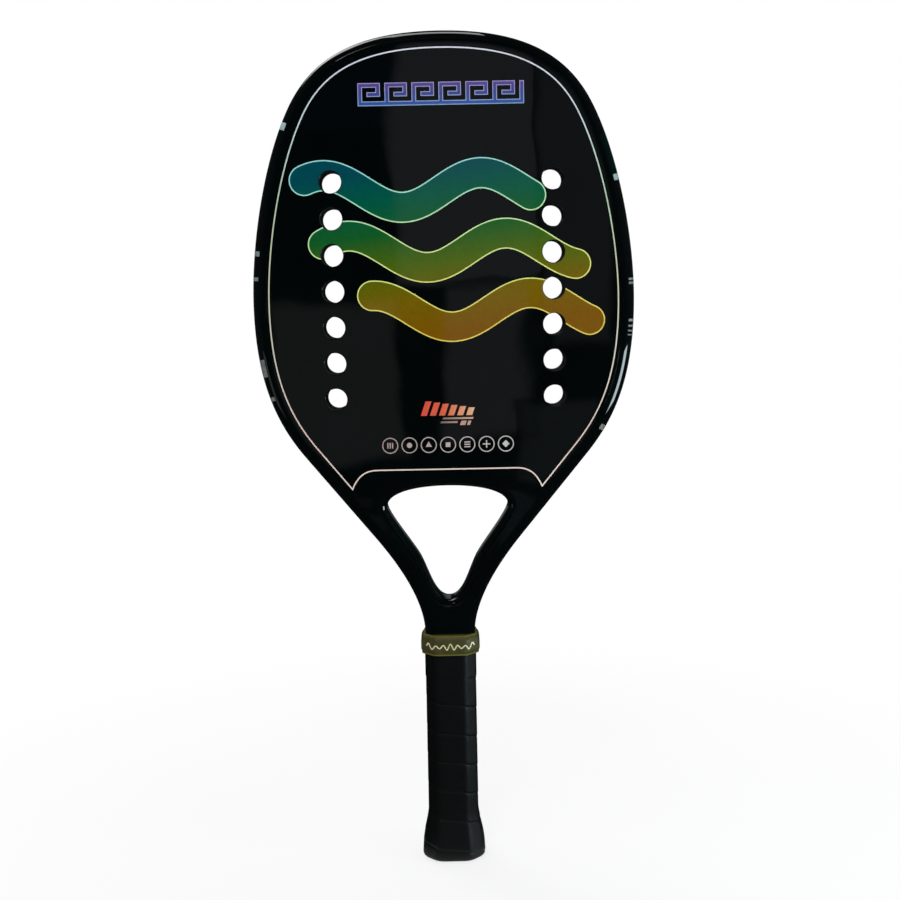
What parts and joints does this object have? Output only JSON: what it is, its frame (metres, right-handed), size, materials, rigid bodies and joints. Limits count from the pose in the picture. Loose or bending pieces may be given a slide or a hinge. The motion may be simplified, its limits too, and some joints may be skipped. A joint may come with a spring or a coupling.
{
  "type": "beach tennis racket",
  "caption": "Beach tennis racket with a perforated hard face, rounded moulded frame, open throat, wound octagonal grip and rubber collar.",
  "frame": {"origin": "centre of the butt end, at the foot of the handle", "axes": "+Z from the butt to the crown, +X to the right seen from the front, and the front face towards -Y"},
  "size_m": [0.226, 0.0353, 0.5],
  "materials": {
    "frame": "gloss",
    "face": "gloss",
    "core": "matte",
    "filler": "matte",
    "handle": "matte",
    "cap": "satin",
    "staple": "satin",
    "grip": "matte",
    "tape": "satin",
    "collar": "satin"
  },
  "bodies": {
    "root": {"frame_tube": "frame", "throat_bridge": "frame", "front_face": "face", "rear_face": "face", "foam_core": "core", "neck_filler": "filler", "handle_half_front": "handle", "handle_half_rear": "handle", "butt_cap": "cap", "cap_staple_left": "staple", "cap_staple_right": "staple", "grip_wrap": "grip", "finishing_tape": "tape", "grip_collar": "collar"}
  },
  "joints": []
}
